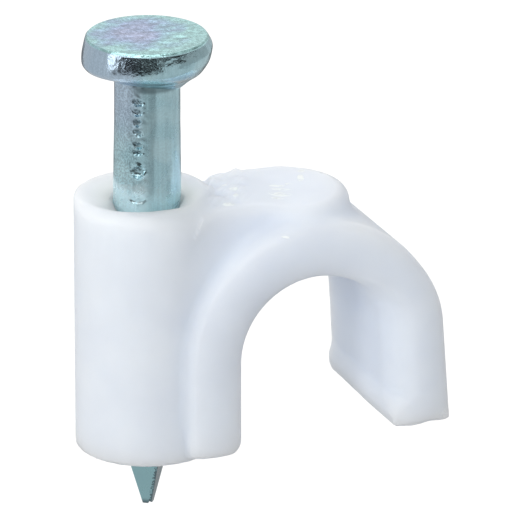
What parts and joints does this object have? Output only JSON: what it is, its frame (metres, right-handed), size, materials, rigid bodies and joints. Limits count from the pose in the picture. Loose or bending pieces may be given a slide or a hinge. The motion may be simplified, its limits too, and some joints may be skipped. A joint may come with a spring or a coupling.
{
  "type": "nail-in cable clip",
  "caption": "White moulded cable clip: a round post with a zinc-plated nail standing in it, joined to a hook with a low boss on its crown that holds a round cable to a wall.",
  "frame": {"origin": "on the nail's axis, in the plane of the post's foot, which bears on the wall", "axes": "+Z along the nail away from the wall, +X from the nail towards the hook, Y along the cable"},
  "size_m": [0.0131, 0.0062, 0.018],
  "materials": {
    "clip_plastic": "satin white polyethylene as moulded",
    "nail_zinc": "bright zinc plating with a bluish passivated film"
  },
  "bodies": {
    "root": {"clip_body": "clip_plastic", "nail": "nail_zinc"}
  },
  "joints": []
}
